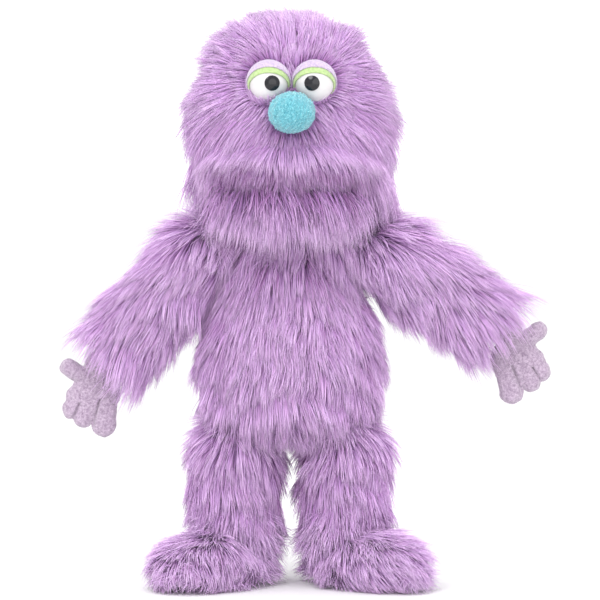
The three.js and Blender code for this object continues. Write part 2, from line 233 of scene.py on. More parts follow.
def cloth_material(name, dark, light, scale, bump=0.6, distance=0.001, sheen=0.5):
    """Napped cloth: blotches at one scale, nap at a finer one."""
    material, tree, shader = new_material(name)
    blotch = noise_node(tree, scale)
    nap = noise_node(tree, scale * NAP_FINENESS, 5.0, 0.7)
    mix = add_node(tree, "ShaderNodeMath", [("operation", "MULTIPLY_ADD")])
    mix.inputs[1].default_value = 0.5
    tree.links.new(nap.outputs["Fac"], mix.inputs[0])
    half = add_node(tree, "ShaderNodeMath", [("operation", "MULTIPLY")])
    half.inputs[1].default_value = 0.5
    tree.links.new(blotch.outputs["Fac"], half.inputs[0])
    tree.links.new(half.outputs[0], mix.inputs[2])
    ramp = ramp_node(tree, [(0.36, dark), (0.64, light)])
    tree.links.new(mix.outputs[0], ramp.inputs["Fac"])
    tree.links.new(ramp.outputs["Color"], shader.inputs["Base Color"])
    tree.links.new(bump_node(tree, mix.outputs[0], bump, distance).outputs[0], shader.inputs["Normal"])
    shader.inputs["Roughness"].default_value = 0.95
    shader.inputs["Specular IOR Level"].default_value = 0.2
    shader.inputs["Sheen Weight"].default_value = sheen
    shader.inputs["Sheen Roughness"].default_value = 0.5
    return material


UV_LAYER = "OFBake"  # along a strand in U, one row of V for each shade
SHADES = 48
# From the first shade to the last: brighter, less saturated, and of a hue at random round the middle.
VALUE_FROM, VALUE_GAIN = 0.625, 0.56
SATURATION_FROM, SATURATION_LOSS = 1.34, 0.45
HUE_SPREAD = 0.03


def fur_material(name, root, middle, tip):
    """Root-to-tip colour along each strand, and a shade row for each: its tuft's own, darker where shade is painted
    and paler where light is painted.
    """
    material, tree, shader = new_material(name)
    uv = add_node(tree, "ShaderNodeUVMap", [("uv_map", UV_LAYER)])
    split = tree.nodes.new("ShaderNodeSeparateXYZ")
    tree.links.new(uv.outputs[0], split.inputs[0])
    along = ramp_node(tree, [(0.0, root), (0.92, tip), (0.42, middle)])
    tree.links.new(split.outputs["X"], along.inputs["Fac"])
    rows = add_node(tree, "ShaderNodeMath", [("operation", "MULTIPLY")])
    rows.inputs[1].default_value = SHADES
    tree.links.new(split.outputs["Y"], rows.inputs[0])
    row = add_node(tree, "ShaderNodeMath", [("operation", "FLOOR")])
    tree.links.new(rows.outputs[0], row.inputs[0])
    value = add_node(tree, "ShaderNodeMath", [("operation", "MULTIPLY_ADD")])
    value.inputs[1].default_value = VALUE_GAIN / SHADES
    value.inputs[2].default_value = VALUE_FROM
    tree.links.new(row.outputs[0], value.inputs[0])
    chance = add_node(tree, "ShaderNodeTexWhiteNoise", [("noise_dimensions", "1D")])
    tree.links.new(row.outputs[0], chance.inputs["W"])
    hue = add_node(tree, "ShaderNodeMath", [("operation", "MULTIPLY_ADD")])
    hue.inputs[1].default_value = HUE_SPREAD
    hue.inputs[2].default_value = 0.5 - HUE_SPREAD / 2
    tree.links.new(chance.outputs["Value"], hue.inputs[0])
    depth = add_node(tree, "ShaderNodeMath", [("operation", "MULTIPLY_ADD")])
    depth.inputs[1].default_value = -SATURATION_LOSS / SHADES
    depth.inputs[2].default_value = SATURATION_FROM
    tree.links.new(row.outputs[0], depth.inputs[0])
    shade = add_node(tree, "ShaderNodeHueSaturation")
    tree.links.new(depth.outputs[0], shade.inputs["Saturation"])
    tree.links.new(along.outputs["Color"], shade.inputs["Color"])
    tree.links.new(value.outputs[0], shade.inputs["Value"])
    tree.links.new(hue.outputs[0], shade.inputs["Hue"])
    tree.links.new(shade.outputs["Color"], shader.inputs["Base Color"])
    shader.inputs["Roughness"].default_value = 0.55
    shader.inputs["Specular IOR Level"].default_value = 0.3
    shader.inputs["Sheen Weight"].default_value = 0.2
    shader.inputs["Sheen Roughness"].default_value = 0.4
    return material


# ------------------------------------------------------------------ mesh helpers

def add_object(name, mesh, materials=()):
    obj = bpy.data.objects.new(name, mesh)
    bpy.context.scene.collection.objects.link(obj)
    for material in materials:
        mesh.materials.append(material)
    return obj


def finished_mesh(obj):
    """Applies the object's modifiers to its mesh."""
    view = bpy.context.evaluated_depsgraph_get()
    mesh = bpy.data.meshes.new_from_object(obj.evaluated_get(view))
    obj.modifiers.clear()
    obj.data = mesh
    return obj


def remesh(obj, voxel, smoothing):
    block = obj.modifiers.new("voxels", "REMESH")
    block.mode = "VOXEL"
    block.voxel_size = voxel
    if smoothing:
        relax = obj.modifiers.new("relax", "SMOOTH")
        relax.factor = 0.5
        relax.iterations = smoothing
    finished_mesh(obj)
    shade_smooth(obj)
    return obj


def shade_smooth(obj):
    obj.data.polygons.foreach_set("use_smooth", np.ones(len(obj.data.polygons), bool))


def softened(name, node, material, voxel=0.0035, smoothing=10):
    """A CAD cloth or stuffed solid, its facets worn round, in its own place."""
    obj = add_object(name, frame["nodes"][node].data.copy())
    obj.data.materials.clear()
    obj.data.materials.append(material)
    remesh(obj, voxel, smoothing)
    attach(obj, BODY_OF[node])
    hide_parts(node)
    return obj


def mesh_arrays(obj):
    mesh = obj.data
    mesh.calc_loop_triangles()
    points, normals = np.zeros((2, len(mesh.vertices) * 3))
    mesh.vertices.foreach_get("co", points)
    mesh.vertices.foreach_get("normal", normals)
    tris = np.zeros(len(mesh.loop_triangles) * 3, int)
    mesh.loop_triangles.foreach_get("vertices", tris)
    return points.reshape(-1, 3), tris.reshape(-1, 3), normals.reshape(-1, 3)


def move_points(obj, points):
    obj.data.vertices.foreach_set("co", points.reshape(-1))
    obj.data.update()


def scattered(obj, count, rng, wanted):
    """Random places on a mesh, evenly by area, with their normals, where wanted(place, normal) is true."""
    points, tris, normals = mesh_arrays(obj)
    a, b, c = (points[tris[:, i]] for i in range(3))
    area = np.linalg.norm(np.cross(b - a, c - a), axis=1) / 2
    keep = wanted((a + b + c) / 3, unit(normals[tris].sum(1)))
    area = np.where(keep, area, 0.0)
    chosen = rng.choice(len(tris), size=count, p=area / area.sum())
    u, v = rng.random((2, count))
    flip = u + v > 1
    u, v = np.where(flip, 1 - u, u), np.where(flip, 1 - v, v)
    shares = (1 - u - v, u, v)

    def mix(values):
        return sum(values[tris[chosen, i]] * shares[i][:, None] for i in range(3))
    return mix(points), unit(mix(normals)), area.sum()


# ------------------------------------------------------------------ fur

STRAND_STEPS = 4
STRAND_SIDES = 3
ROOT_DEPTH = 1.5 * MM  # how far a strand starts under the hide
STRAYS = 0.06  # the share of strands that stand apart from their clump


def waves(seed, wavelength, count=7):
    """A smooth random vector field, for locks that lie together."""
    rng = np.random.default_rng(seed)
    direction = unit(rng.normal(size=(count, 3))) * (2 * math.pi / wavelength)
    phase = rng.random(count) * 2 * math.pi
    push = rng.normal(size=(count, 3)) / math.sqrt(count)
    return lambda p: np.sin(p @ direction.T + phase) @ push


# The fur stands inside the hide's box and the room that pile may take outside it.
CAD_LOW, CAD_HIGH = (np.array(corner) for corner in cad_box)
PILE_ROOM = 0.03 * (CAD_HIGH - CAD_LOW) + 9 * MM
ROOM_LOW, ROOM_HIGH = CAD_LOW - PILE_ROOM, CAD_HIGH + PILE_ROOM
LOCKS = waves(11, 0.055)
TUFTS = waves(12, 0.022)


def grown(roots, normals, comb, length, lift, droop, rng, wild, locks):
    """Strand paths (count, steps + 1, 3): up from the hide, over along the comb, and down with their weight."""
    flow = comb - normals * (comb * normals).sum(1)[:, None]
    wander = locks * (0.42 * LOCKS(roots) + 0.30 * TUFTS(roots))
    flow = unit(flow + wander + wild * rng.normal(size=roots.shape))
    direction = unit(flow + lift[:, None] * 2.0 * normals)
    path = [roots - normals * ROOT_DEPTH]
    for step in range(STRAND_STEPS):
        share = (step + 0.5) / STRAND_STEPS
        target = unit(flow * (1 - droop)[:, None] - UP * droop[:, None] * (0.6 + share))
        direction = unit(direction * (1 - 0.45 * share) + target * (0.25 + 0.75 * share))
        least = lift * (1 - share) * 0.9 + 0.04
        rise = (direction * normals).sum(1)
        direction = unit(direction + normals * np.maximum(least - rise, 0)[:, None])
        path.append(path[-1] + direction * (length / STRAND_STEPS)[:, None])
    return np.stack(path, 1)


def clumped(path, length, rng, per_clump, strength):
    """Draws neighbouring strands together towards their tips, and gives each its clump's number."""
    count = len(path)
    leaders = rng.choice(count, size=max(1, count // per_clump), replace=False)
    tree = KDTree(len(leaders))
    for i, leader in enumerate(leaders):
        tree.insert(path[leader, 0], i)
    tree.balance()
    clump = np.fromiter((tree.find(p)[1] for p in path[:, 0]), int, count)
    leader = leaders[clump]
    share = np.linspace(0, 1, STRAND_STEPS + 1)[None, :, None]
    apart = (path[:, 0] - path[leader, 0])[:, None]
    reach = (length / length[leader])[:, None, None]
    along = path[leader][:, :1] + (path[leader] - path[leader][:, :1]) * reach
    together = along + apart * (1 - 0.88 * share)
    weight = strength * share ** 0.8
    return path * (1 - weight) + together * weight, clump


def strand_mesh(name, path, normals, width, shade):
    """Closed, three-sided, tapering strands. Their UVs run root to tip, in one row for each shade."""
    count, rings = len(path), STRAND_STEPS
    direction = unit(np.gradient(path, axis=1))
    side = unit(np.cross(direction, normals[:, None]))
    top = np.cross(side, direction)
    share = np.linspace(0, 1, rings + 1)[:rings]
    girth = (width[:, None] * (1 - 0.72 * share ** 1.6))[:, :, None]
    ring_path = path[:, :rings]
    corners = [
        ring_path - side[:, :rings] * girth * 0.5,
        ring_path + side[:, :rings] * girth * 0.5,
        ring_path + top[:, :rings] * girth * 0.55,
    ]
    vertices = np.stack(corners, 2).reshape(count, rings * 3, 3)
    vertices = np.concatenate([vertices, path[:, -1:]], 1)
    per = rings * 3 + 1

    faces = [[0, 2, 1]]
    for ring in range(rings):
        for k in range(STRAND_SIDES):
            a, b = ring * 3 + k, ring * 3 + (k + 1) % 3
            faces += [[a, b, b + 3], [a, b + 3, a + 3]] if ring < rings - 1 else [[a, b, per - 1]]
    faces = np.array(faces)

    local = np.arange(per)
    u = np.append(np.repeat(np.arange(rings) / rings, 3), 1.0) * 0.96 + 0.02
    v = np.where(local == per - 1, 0.5, 0.2 + 0.3 * (local % 3))
    uv = np.stack([np.broadcast_to(u, (count, per)), (shade[:, None] + v) / SHADES], 2)

    loops = (faces.reshape(-1)[None] + per * np.arange(count)[:, None]).reshape(-1)
    mesh = bpy.data.meshes.new(name)
    mesh.vertices.add(count * per)
    mesh.vertices.foreach_set("co", vertices.reshape(-1))
    mesh.loops.add(len(loops))
    mesh.loops.foreach_set("vertex_index", loops)
    mesh.polygons.add(len(loops) // 3)
    mesh.polygons.foreach_set("loop_start", np.arange(0, len(loops), 3))
    mesh.polygons.foreach_set("use_smooth", np.ones(len(loops) // 3, bool))
    layer = mesh.uv_layers.new(name=UV_LAYER)
    layer.data.foreach_set("uv", uv.reshape(-1, 2)[loops].reshape(-1))
    mesh.update()
    return mesh


def fur(name, hide, body, material, density, comb, length, lift, droop, seed, wanted,
        painted_shade=None, width=1.2 * MM, wild=0.12, locks=1.0, per_clump=8, strength=0.62, slot="fur"):
    """Fur over part of a hide. comb, length, lift, droop and the painted shade are functions of places on the hide:
    painted shade darkens strands, and where it is negative it is painted light.
    """
    rng = np.random.default_rng(seed)
    _, _, area = scattered(hide, 1, rng, wanted)
    count = int(area * density)
    roots, normals, _ = scattered(hide, count, rng, wanted)
    stray = rng.random(count) < STRAYS
    lengths = length(roots) * (0.72 + 0.45 * rng.random(count))
    rises = lift(roots) * (0.75 + 0.5 * rng.random(count)) + 0.25 * stray
    path = grown(roots, normals, comb(roots), lengths, rises, droop(roots), rng, wild, locks)
    gathered, clump = clumped(path, lengths, rng, per_clump, strength)
    path = np.clip(np.where(stray[:, None, None], path, gathered), ROOM_LOW, ROOM_HIGH)
    chance = rng.random(clump.max() + 1)[clump] * 0.7 + rng.random(count) * 0.3
    # Painted shade: strands in shaded places take darker, more saturated rows, and painted light (a negative value)
    # gives paler ones; the rest of the row is each tuft's own.
    dark = 0.0 if painted_shade is None else painted_shade(roots)
    shade = np.clip(((0.42 + 0.58 * chance - 0.42 * dark) * SHADES).astype(int), 0, SHADES - 1)
    widths = width * (0.7 + 0.6 * rng.random(count)) * np.where(stray, 0.7, 1.0)
    obj = add_object(name, strand_mesh(name, path, normals, widths, shade), [material])
    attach(obj, body)
    return obj


def same(value):
    return lambda p: np.full(len(p), value)


# ------------------------------------------------------------------ colours

HIDE_DARK, HIDE_LIGHT = (0.26, 0.14, 0.32), (0.42, 0.24, 0.48)
FUR_ROOT, FUR_MIDDLE, FUR_TIP = (0.37, 0.195, 0.43), (0.58, 0.335, 0.65), (0.81, 0.575, 0.87)

make_camera()
make_studio()
hide_cloth = cloth_material("hide_cloth", HIDE_DARK, HIDE_LIGHT, 300)
lining_cloth = cloth_material("lining_cloth", (0.20, 0.13, 0.26), (0.27, 0.18, 0.34), 900, sheen=0.2)
felt_black = cloth_material("mouth_felt", (0.012, 0.010, 0.012), (0.03, 0.025, 0.03), 500)
felt_tongue = cloth_material("tongue_felt", (0.42, 0.07, 0.13), (0.55, 0.12, 0.20), 500)
felt_sole = cloth_material("sole_felt", (0.24, 0.15, 0.30), (0.33, 0.22, 0.40), 400)
elastic = cloth_material("elastic", (0.03, 0.025, 0.035), (0.06, 0.05, 0.07), 1200, sheen=0.1)
wadding = cloth_material("wadding", (0.72, 0.71, 0.67), (0.86, 0.85, 0.82), 160, sheen=0.3)
foam = cloth_material("foam", (0.74, 0.66, 0.42), (0.88, 0.80, 0.56), 700, sheen=0.0)
board = cloth_material("board", (0.20, 0.15, 0.11), (0.27, 0.21, 0.15), 90, sheen=0.0)
hand_fleece = cloth_material("hand_fleece", (0.22, 0.15, 0.235), (0.62, 0.50, 0.63), 300,
                             bump=1.0, distance=0.0018)
nose_fleece = cloth_material("nose_fleece", (0.02, 0.19, 0.26), (0.17, 0.52, 0.60), 330,
                             bump=1.0, distance=0.0018)
lid_fleece = cloth_material("lid_fleece", (0.33, 0.24, 0.39), (0.66, 0.54, 0.72), 360,
                            bump=1.0, distance=0.0015)
trim_fleece = cloth_material("trim_fleece", (0.27, 0.41, 0.14), (0.50, 0.64, 0.31), 360,
                             bump=1.0, distance=0.0012)
# The cord at the eyelid's fold is a real roll of cloth; its darker green is painted shade, the shade of the fold.
fold_shade_fleece = cloth_material("fold_shade_fleece", (0.16, 0.27, 0.06), (0.27, 0.40, 0.12), 420,
                               bump=0.7, distance=0.0007)
fur_lilac = fur_material("fur_lilac", FUR_ROOT, FUR_MIDDLE, FUR_TIP)


def plastic(name, colour, roughness, speck):
    material, tree, shader = new_material(name)
    noise = noise_node(tree, 120, 2.0)
    ramp = ramp_node(tree, [(0.3, colour), (0.7, tuple(c * speck for c in colour))])
    tree.links.new(noise.outputs["Fac"], ramp.inputs["Fac"])
    tree.links.new(ramp.outputs["Color"], shader.inputs["Base Color"])
    shader.inputs["Roughness"].default_value = roughness
    shader.inputs["Specular IOR Level"].default_value = 0.3
    shader.inputs["Coat Weight"].default_value = 0.15
    shader.inputs["Coat Roughness"].default_value = roughness / 2
    return material


eye_white = plastic("eye_white", (0.62, 0.60, 0.61), 0.22, 0.96)
eye_black = plastic("eye_black", (0.008, 0.008, 0.011), 0.08, 1.4)

# ------------------------------------------------------------------ what lies under the fur

for node in ("torso_sleeve_lining", "neck_sleeve_lining"):
    softened(node.replace("lining", "cloth"), node, lining_cloth, voxel=0.0022, smoothing=6)
for node in ("head_foam_form", "jaw_foam_form"):
    softened(node.replace("form", "body"), node, foam, voxel=0.003, smoothing=4)
for node, felt in (("upper_mouth_lining", felt_black), ("lower_mouth_lining", felt_black),
                   ("tongue", felt_tongue), ("finger_strap", elastic)):
    softened(node + "_cloth", node, felt, voxel=0.0009, smoothing=2)
for side in SIDES:
    for part in ("shoulder", "arm", "leg", "foot"):
        softened(f"{side}_{part}_wadding", f"{side}_{part}_stuffing", wadding, voxel=0.003)
    softened(f"{side}_sole", f"{side}_foot_sole", felt_sole, voxel=0.0016, smoothing=3)
for node in ("upper_mouth_plate", "lower_mouth_plate"):
    plate = frame["nodes"][node]
    plate.data.materials.clear()
    plate.data.materials.append(board)

# ------------------------------------------------------------------ the hide of each body

hides = {}
for node in ("torso_fur_cover", "neck_fur_cover", "head_fur_cover", "jaw_fur_cover"):
    hides[node] = softened(node.replace("fur_cover", "hide"), node, hide_cloth, voxel=0.0032, smoothing=12)
for side in SIDES:
    for part in ("arm", "leg", "foot"):
        node = f"{side}_{part}_fur_cover"
        hides[node] = softened(f"{side}_{part}_hide", node, hide_cloth, voxel=0.0032, smoothing=12)

# ------------------------------------------------------------------ face

FACE_SHIFT = np.array([2.2, 0.0, -2.5]) * MM  # how far the soft head sags to one side under its face
FACE_Z = (centre("right_eyeball")[2] + centre("nose_cover")[2]) / 2
FACE = np.array([MID_X, node_box("head_fur_cover")[0][1], FACE_Z])


def lathe(name, profile, axis, place, material, segments=64):
    """A closed body turned about an axis, from (radius, height) points that start and end on it."""
    bm = bmesh.new()
    points = [bm.verts.new((r, 0.0, h)) for r, h in profile]
    closing = points[:1] if profile[0][0] > 0 else []  # a profile clear of the axis closes on itself
    edges = [bm.edges.new(pair) for pair in zip(points, points[1:] + closing)]
    bmesh.ops.spin(bm, geom=points + edges, cent=(0, 0, 0), axis=(0, 0, 1), angle=2 * math.pi,
                   steps=segments, use_merge=True)
    bmesh.ops.remove_doubles(bm, verts=bm.verts, dist=1e-6)
    bmesh.ops.recalc_face_normals(bm, faces=bm.faces)
    mesh = bpy.data.meshes.new(name)
    bm.to_mesh(mesh)
    bm.free()
    turn = Vector((0, 0, 1)).rotation_difference(Vector(axis)).to_matrix().to_4x4()
    mesh.transform(Matrix.Translation(Vector(place)) @ turn)
    obj = add_object(name, mesh, [material])
    shade_smooth(obj)
    return obj


def arc(radius, start, end, steps):
    """(radius, height) points at angles from the pole, exactly on the axis where they reach it."""
    points = []
    for a in np.radians(np.linspace(start, end, steps)):
        off_axis = abs(radius * math.sin(a)) if abs(math.sin(a)) > 1e-6 else 0.0
        points.append((off_axis, radius * math.cos(a)))
    return points


def shell_profile(inner, outer, edge):
    """A bowl of cloth out to an angle from its pole, with a rolled edge."""
    middle, half = (inner + outer) / 2, (outer - inner) / 2
    rim = np.radians(edge)
    roll = []
    for a in np.radians(np.linspace(0, 180, 9))[1:-1]:
        out, along = half * math.cos(a), half * math.sin(a)
        roll.append(((middle + out) * math.sin(rim) + along * math.cos(rim),
                     (middle + out) * math.cos(rim) - along * math.sin(rim)))
    return arc(outer, 0, edge, 40) + roll + arc(inner, edge, 0, 40)


LID_TILT, LID_EDGE = 49.7, 95.0  # degrees: back from upright, and from the pole to the edge
TRIM_TILT, TRIM_EDGE = 42.0, 104.0
DOME_EDGE = 118  # degrees from the front of the eye to its flat back
PUPIL_SHIFT = np.array([0.8, 0.0, -1.6]) * MM
PUPIL_GROWTH = 1.04
PUPIL_HEIGHT, PUPIL_CROWN, PUPIL_SUNK = 1.5 * MM, 0.6 * MM, 0.4 * MM
PIPING_RADIUS, PIPING_HEIGHT = 0.75 * MM, 0.9 * MM


def on_head(obj, node=None):
    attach(obj, "head")
    if node:
        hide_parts(node)


def tilted_back(degrees):
    return 0, math.sin(math.radians(degrees)), math.cos(math.radians(degrees))


def make_pupil(side, place, radius):
    low, high = node_box(f"{side}_pupil")
    disc = (high[0] - low[0]) / 2 * PUPIL_GROWTH
    middle = (low + high) / 2 + FACE_SHIFT + PUPIL_SHIFT
    aim = unit(np.array([middle[0] - place[0], -radius, middle[2] - place[2]]))
    wide = math.degrees(math.asin(disc / radius))
    front = arc(radius + PUPIL_HEIGHT, 0, wide * 0.93, 24)
    dome = [(r, h + PUPIL_CROWN * math.cos(math.pi / 2 * min(1, r / disc))) for r, h in front]
    back = arc(radius - PUPIL_SUNK, wide, 0, 12)
    on_head(lathe(f"{side}_pupil_bead", dome + back, aim, place, eye_black, 72), f"{side}_pupil")


def make_eyelid(side, place, radius):
    lid_outer = node_box(f"{side}_eyelid")[1][2] + FACE_SHIFT[2] - place[2]
    trim_outer = node_box(f"{side}_eyelid_trim")[1][2] + FACE_SHIFT[2] - place[2]
    lid_profile = shell_profile(trim_outer + 0.1 * MM, lid_outer + 0.2 * MM, LID_EDGE)
    trim_profile = shell_profile(radius + 0.1 * MM, trim_outer, TRIM_EDGE)
    for name, node, profile, tilt, cloth in (
            ("eyelid_fleece", f"{side}_eyelid", lid_profile, LID_TILT, lid_fleece),
            ("eyelid_edge", f"{side}_eyelid_trim", trim_profile, TRIM_TILT, trim_fleece)):
        lid = lathe(f"{side}_{name}", profile, tilted_back(tilt), place, cloth, 96)
        on_head(lid, node)

    # A cord along the fold under the green edge: its shape is real, its darker green is painted shade of the fold.
    fold = math.radians(TRIM_EDGE - 5.0)
    reach = radius + PIPING_HEIGHT
    cord = [(reach * math.sin(fold) + PIPING_RADIUS * math.cos(a),
             reach * math.cos(fold) + PIPING_RADIUS * math.sin(a))
            for a in np.linspace(0, 2 * math.pi, 13)[:-1]]
    piping = lathe(f"{side}_eyelid_piping", cord, tilted_back(TRIM_TILT), place, fold_shade_fleece, 96)
    on_head(piping)


eyes = {}
for side in SIDES:
    low, high = node_box(f"{side}_eyeball")
    radius = (high[0] - low[0]) / 2
    place = np.array([(low[0] + high[0]) / 2, low[1] + radius, (low[2] + high[2]) / 2]) + FACE_SHIFT
    eyes[side] = (place, radius)
    ball = arc(radius, 0, DOME_EDGE, 60) + [(0.0, radius * math.cos(math.radians(DOME_EDGE)))]
    on_head(lathe(f"{side}_eye_dome", ball, (0, -1, 0), place, eye_white, 96), f"{side}_eyeball")
    make_pupil(side, place, radius)
    make_eyelid(side, place, radius)

NOSE_LOW, NOSE_HIGH = node_box("nose_cover")
NOSE_RADIUS = (NOSE_HIGH[2] - NOSE_LOW[2]) / 2
NOSE_X, _, NOSE_Z = centre("nose_cover")
NOSE = np.array([NOSE_X, NOSE_LOW[1] + NOSE_RADIUS, NOSE_Z]) + FACE_SHIFT * 1.2
NOSE_SQUASH = np.array([1.10, 1.0, 0.97])
NOSE_CORE = 0.93  # the foam ball's size against the CAD ball, so that it stays under the squashed fleece


def make_nose():
    """A foam ball under nappy fleece: a lumpy ball with short curled nap."""
    bpy.ops.mesh.primitive_ico_sphere_add(subdivisions=6, radius=1.0)
    obj = bpy.context.object
    obj.name = "nose_fleece_ball"
    points, _, _ = mesh_arrays(obj)
    lumps, curls = waves(31, 0.011, 9), waves(32, 0.0045, 9)
    placed = NOSE + points * (NOSE_RADIUS - 1.2 * MM)
    swell = 0.6 * MM * np.clip(lumps(placed)[:, 0], -1, 1) + 0.4 * MM * np.clip(curls(placed)[:, 1], -1, 1)
    move_points(obj, NOSE + (placed - NOSE + points * swell[:, None]) * NOSE_SQUASH)
    obj.data.materials.append(nose_fleece)
    shade_smooth(obj)
    on_head(obj, "nose_cover")
    core = softened("nose_foam", "nose_foam_ball", foam, voxel=0.002, smoothing=3)
    middle = centre("nose_foam_ball")
    points, _, _ = mesh_arrays(core)
    move_points(core, NOSE + (points - middle) * NOSE_CORE)
    return obj


nose = make_nose()

# ------------------------------------------------------------------ nap on the nose and eyelids

def nap(name, cloth_piece, material, density, length, thickness, seed, slot, wanted):
    """Short curled fibres standing on a fleece."""
    curls = waves(seed, 0.004)
    fur(name, cloth_piece, "head", material, density, lambda p: curls(p) + 0.001, same(length), same(0.55),
        same(0.05), seed, wanted, width=thickness, wild=0.9, per_clump=5, strength=0.5, slot=slot)


# The nose nap's pale tips are painted highlight: bright specks of light over the fleece.
nap_nose = fur_material("nap_nose", (0.02, 0.18, 0.25), (0.13, 0.47, 0.55), (0.46, 0.84, 0.90))
nap_lid = fur_material("nap_lid", (0.33, 0.24, 0.39), (0.50, 0.40, 0.57), (0.72, 0.62, 0.78))
nap("nose_nap", nose, nap_nose, 0.8e6, 3.6 * MM, 0.85 * MM, 50, "nose_fleece", lambda p, n: n[:, 1] < 0.45)
for number, side in enumerate(SIDES):
    nap(f"{side}_eyelid_nap", bpy.data.objects[f"{side}_eyelid_fleece"], nap_lid, 1.1e6, 2.6 * MM, 0.55 * MM,
        52 + number, "eyelid_lilac",
        lambda p, n: (n[:, 1] < 0.3) & ((n * unit(p - eyes[side][0])).sum(1) > 0.3))

# ------------------------------------------------------------------ hands

# Bars with round ends, in millimetres from the wrist: start and end as (towards the thumb, down), radius, half
# thickness.
HAND_BARS = (
    ((0, 0), (3, 30), 18, 8.0),  # wrist
    ((0, 36), (10, 38), 27, 9.5),  # palm
    ((-2, 50), (22, 44), 21, 8.5),  # heel of the palm
    ((12, 20), (40, 3), 10.5, 8.0),  # thumb
    ((24, 42), (35, 57), 12.5, 8.0),  # the three fingers
    ((15, 44), (21, 68), 12.5, 8.0),
    ((-7, 42), (-6, 78), 15, 8.5),
)
# The stitched lines that part the fingers, from the same places.
FINGER_SEAMS = (((26, 50), (37, 75)), ((-1, 44), (10, 86)))
SEAM_WIDTH, SEAM_DEPTH = 1.3, 0.62  # millimetres, and the share of the thickness that it takes away
SEWN_EDGE, SEWN_EDGE_HALF = 1.6, 1.4  # millimetres past the filling where the two panels meet, and half its thickness
HAND_TILT = {"right": 0.0, "left": 8.0}  # degrees


def flat_bar(bm, start, end, radius, half_thick):
    """A round-ended bar, flattened to its thickness."""
    made = bmesh.ops.create_icosphere(bm, subdivisions=4, radius=1.0)["verts"]
    start, end = Vector((start[0], 0, -start[1])), Vector((end[0], 0, -end[1]))
    run = (end - start).normalized() if (end - start).length > 0 else Vector((0, 0, -1))
    for v in made:
        base = end if v.co.dot(run) > 0 else start
        v.co = Vector((v.co.x * radius, v.co.y * half_thick, v.co.z * radius)) + base


def line_gap(p, start, end):
    """Distance in the hand's plane from a line between two (towards thumb, down) places."""
    a, b = np.array([start[0], -start[1]], float), np.array([end[0], -end[1]], float)
    at = p[:, (0, 2)]
    share = np.clip(((at - a) @ (b - a)) / ((b - a) @ (b - a)), 0, 1)
    return np.linalg.norm(at - a - share[:, None] * (b - a), axis=1)


def make_hand(side, sign):
    bm = bmesh.new()
    for start, end, radius, half_thick in HAND_BARS:
        flat_bar(bm, start, end, radius, half_thick)
        flat_bar(bm, start, end, radius + SEWN_EDGE, SEWN_EDGE_HALF)
    for v in bm.verts:
        v.co.x *= sign
    if sign < 0:
        bmesh.ops.reverse_faces(bm, faces=bm.faces)
    mesh = bpy.data.meshes.new(f"{side}_hand")
    bm.to_mesh(mesh)
    bm.free()
    obj = add_object(f"{side}_hand", mesh, [hand_fleece])
    remesh(obj, 0.85, 3)
    points, _, normals = mesh_arrays(obj)
    lumps = waves(41, 12.0, 9)
    towards_thumb = points * np.array([sign, 1, 1])
    sunk = sum(np.exp(-(line_gap(towards_thumb, *seam) / SEAM_WIDTH) ** 2) for seam in FINGER_SEAMS)
    moved = points + normals * (0.45 * lumps(points)[:, :1])
    moved[:, 1] *= 1 - SEAM_DEPTH * np.clip(sunk, 0, 1)
    move_points(obj, moved)
    wrist = Vector(JOINT[f"{side}_wrist"]["pos_m"])
    turn = Matrix.Rotation(math.radians(-sign * HAND_TILT[side]), 4, "Y")
    obj.data.transform(Matrix.Translation(wrist) @ turn @ Matrix.Scale(MM, 4))
    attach(obj, f"{side}_hand")
    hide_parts(f"{side}_hand_palm", f"{side}_hand_back", f"{side}_hand_stuffing")


for side, sign in SIDES.items():
    make_hand(side, sign)

# ------------------------------------------------------------------ fur: the head

HEAD_MIDDLE = centre("head_fur_cover") + np.array([0.0, 0.0, 0.01])


def outward(middle):
    return lambda p, n: (n * unit(p - middle)).sum(1) > 0.25


def face_clearance(p):
    """Distance past the edge of the nearest eye or the nose, seen from the front; large behind."""
    gaps = [np.hypot(p[:, 0] - c[0], p[:, 2] - c[2]) - r for c, r in eyes.values()]
    gaps.append(np.hypot(p[:, 0] - NOSE[0], p[:, 2] - NOSE[2]) - NOSE_RADIUS * 0.85)
    return np.where(p[:, 1] < HEAD_MIDDLE[1], np.min(gaps, 0), 1.0)


def head_comb(p):
    away = unit(p - FACE)
    for c, r in list(eyes.values()) + [(NOSE, NOSE_RADIUS)]:
        gap = np.linalg.norm(p - c, axis=1) - r
        away = away + unit(p - c) * (1 - smoothstep(gap, 0.0, 0.035))[:, None]
    behind = smoothstep(p[:, 1], HEAD_MIDDLE[1] - 0.02, HEAD_MIDDLE[1] + 0.09)
    crown = smoothstep(p[:, 2], HEAD_MIDDLE[2] + 0.02, HEAD_MIDDLE[2] + 0.09)
    return unit(away) - UP * (1.3 * behind)[:, None] - np.array([0.2, 0.0, 0.0]) * crown[:, None]


FRINGE_END = HINGE[2] + 12 * MM  # the height at which the fur over the mouth stops
WHISKERS = waves(77, 0.075)  # where the outline's fur is longer and shorter


def over_mouth(p):
    forward = smoothstep(HEAD_MIDDLE[1] - p[:, 1], 0.030, 0.075)
    return forward * (1 - smoothstep(np.abs(p[:, 0] - MID_X), 0.070, 0.110))


def lips(p):
    """The short fur tucked under the fringe, just over the mouth."""
    return over_mouth(p) * smoothstep(FRINGE_END + 0.031 - p[:, 2], 0.0, 0.018)


